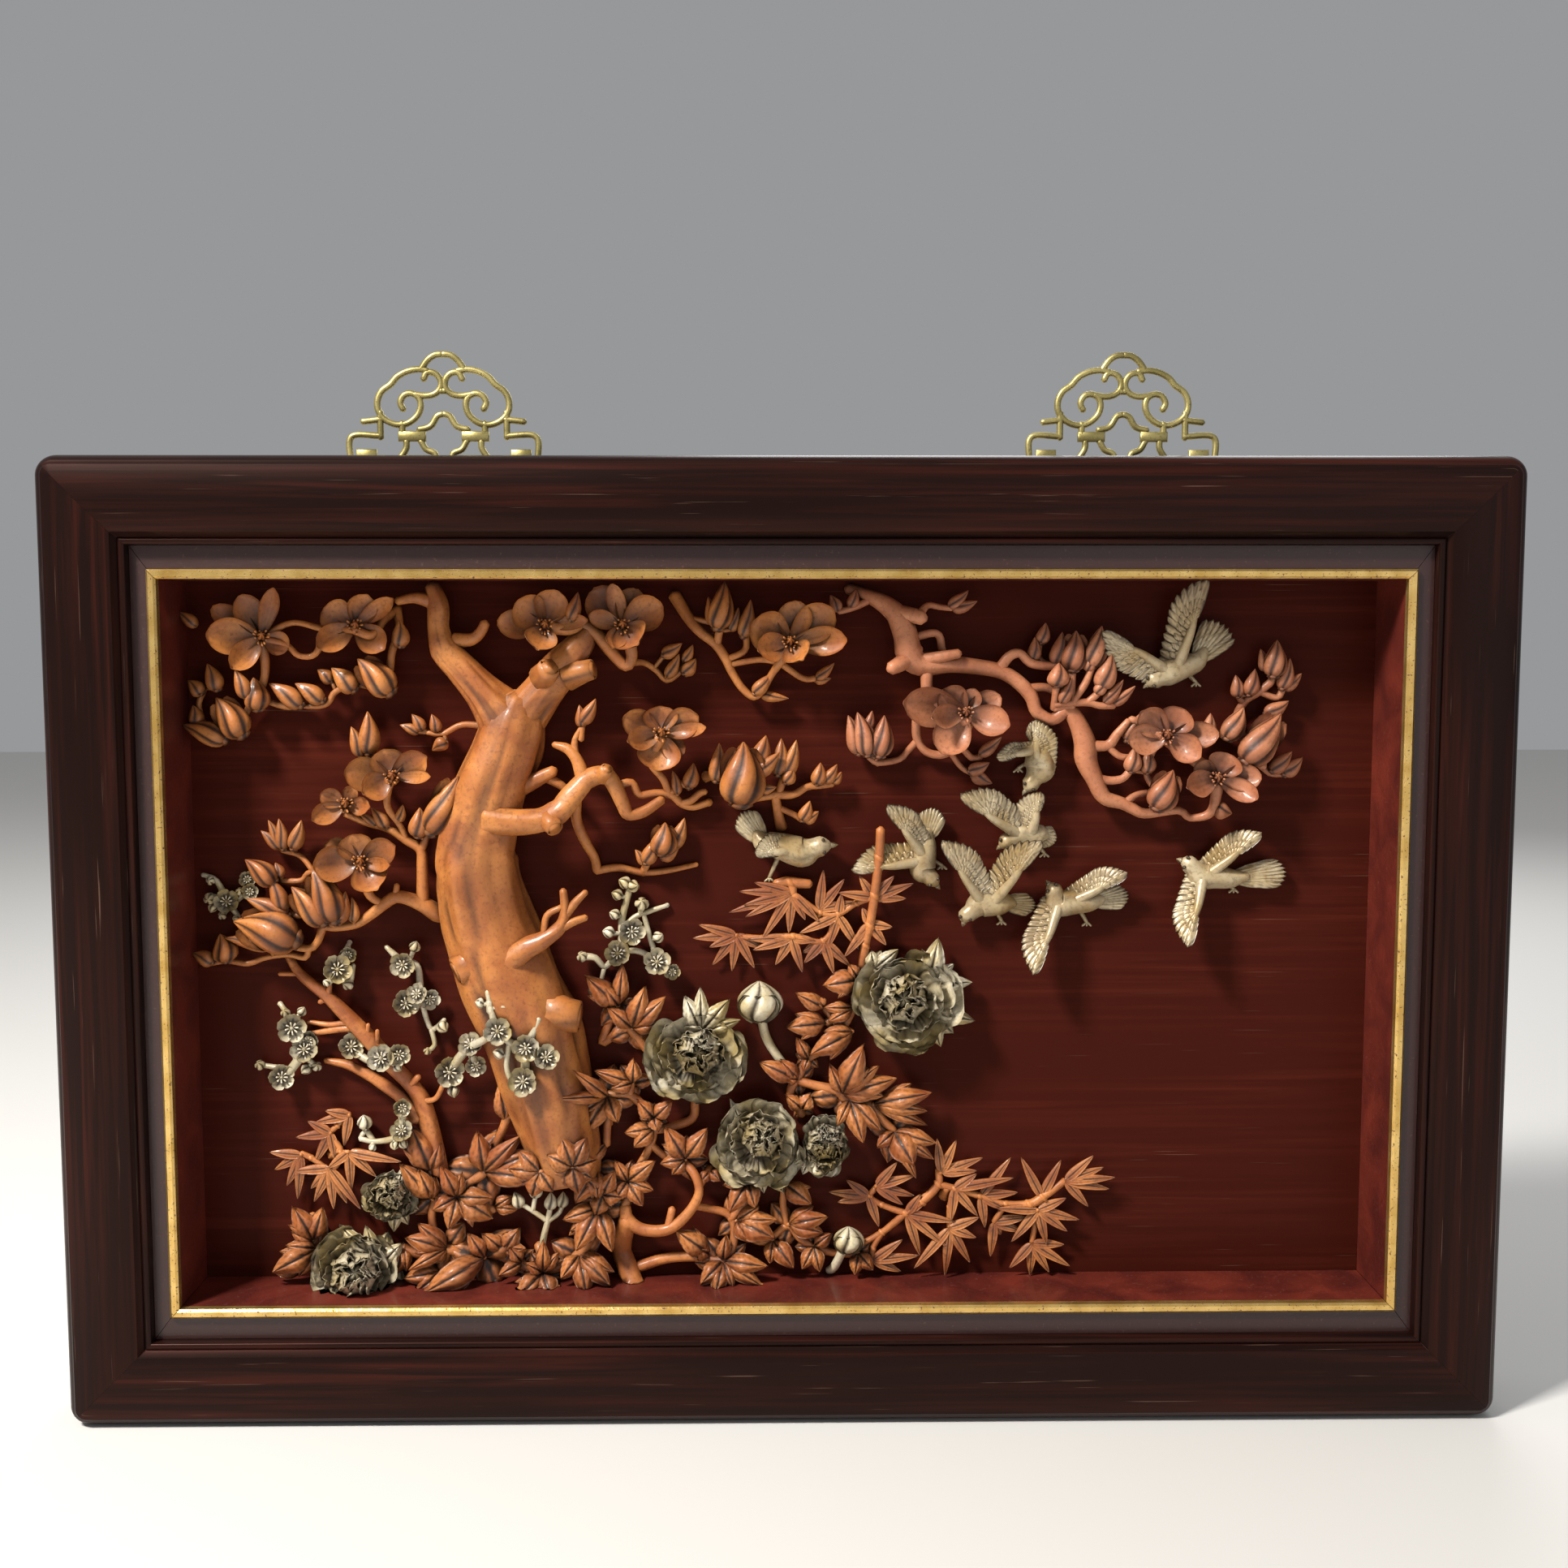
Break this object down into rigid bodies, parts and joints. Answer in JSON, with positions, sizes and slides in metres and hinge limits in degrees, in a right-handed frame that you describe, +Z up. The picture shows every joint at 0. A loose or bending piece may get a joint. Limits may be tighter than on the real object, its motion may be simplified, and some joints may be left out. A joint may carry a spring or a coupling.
{
  "type": "carved wall panel",
  "caption": "Framed shadow-box wall panel with carved magnolia, plum and peony sprays, bamboo and birds on a dark board, hung by pierced brass hangers.",
  "frame": {"origin": "the middle of the frame's outline on the flat back of the board, which lies in the wall's plane y = 0", "axes": "+Z up, +X to the right as a viewer in front sees it, +Y into the wall; the carved front faces -Y"},
  "size_m": [0.914, 0.075, 0.6834],
  "materials": {
    "lacquered_rosewood": "dark brown, high gloss lacquer over faint straight grain",
    "red_lacquer": "brick red lacquer, satin, darker at the bottom",
    "worn_gilding": "gold leaf, worn through to dark streaks",
    "dark_board": "dark red-brown, satin, faint level grain",
    "antique_brass": "yellow-green brass, dark in the hollows",
    "golden_boxwood": "orange-tan, mottled, soft sheen",
    "salmon_boxwood": "pinkish tan, mottled, soft sheen",
    "orange_boxwood": "orange tan, soft sheen, dark in the cuts",
    "silvered_carving": "silver-grey with yellow-gold areas, dark outlines",
    "cream_carving": "cream to silver with gold-brown feather lines"
  },
  "bodies": {
    "root": {"back_board": "dark_board", "bamboo_left": "orange_boxwood", "bamboo_right": "orange_boxwood", "bamboo_upper": "orange_boxwood", "bird_head_down": "cream_carving", "bird_middle_high": "cream_carving", "bird_middle_left": "cream_carving", "bird_middle_low": "cream_carving", "bird_perched": "cream_carving", "bird_right": "cream_carving", "bird_right_low": "cream_carving", "bird_top": "cream_carving", "frame_rail_bottom": "lacquered_rosewood", "frame_rail_left": "lacquered_rosewood", "frame_rail_right": "lacquered_rosewood", "frame_rail_top": "lacquered_rosewood", "gilt_fillet_bottom": "worn_gilding", "gilt_fillet_left": "worn_gilding", "gilt_fillet_right": "worn_gilding", "gilt_fillet_top": "worn_gilding", "hanger_left": "antique_brass", "hanger_right": "antique_brass", "liner_bottom": "red_lacquer", "liner_left": "red_lacquer", "liner_right": "red_lacquer", "liner_top": "red_lacquer", "magnolia_bough_left": "golden_boxwood", "magnolia_bough_right": "salmon_boxwood", "magnolia_spray_centre": "golden_boxwood", "magnolia_spray_middle": "golden_boxwood", "magnolia_spray_right_buds": "salmon_boxwood", "magnolia_spray_right_end": "salmon_boxwood", "magnolia_spray_right_hanging": "salmon_boxwood", "magnolia_spray_right_open": "salmon_boxwood", "magnolia_spray_top": "golden_boxwood", "magnolia_spray_top_centre": "golden_boxwood", "magnolia_spray_top_left": "golden_boxwood", "magnolia_tree": "golden_boxwood", "peony_bud_low": "silvered_carving", "peony_large_middle": "silvered_carving", "peony_large_right": "silvered_carving", "peony_leaves_around_blooms": "orange_boxwood", "peony_leaves_base_left": "orange_boxwood", "peony_leaves_base_middle": "orange_boxwood", "peony_leaves_centre": "orange_boxwood", "peony_leaves_left": "orange_boxwood", "peony_leaves_right": "orange_boxwood", "peony_lower_left": "silvered_carving", "peony_lower_middle": "silvered_carving", "peony_side_on": "silvered_carving", "peony_small_left": "silvered_carving", "plum_branch": "orange_boxwood", "plum_sprig_branch": "silvered_carving", "plum_sprig_centre": "silvered_carving", "plum_sprig_left": "silvered_carving", "plum_sprig_low_left": "silvered_carving", "plum_sprig_lower": "silvered_carving", "plum_sprig_top_left": "silvered_carving", "plum_sprig_trunk": "silvered_carving", "plum_sprig_upper": "silvered_carving"}
  },
  "joints": []
}
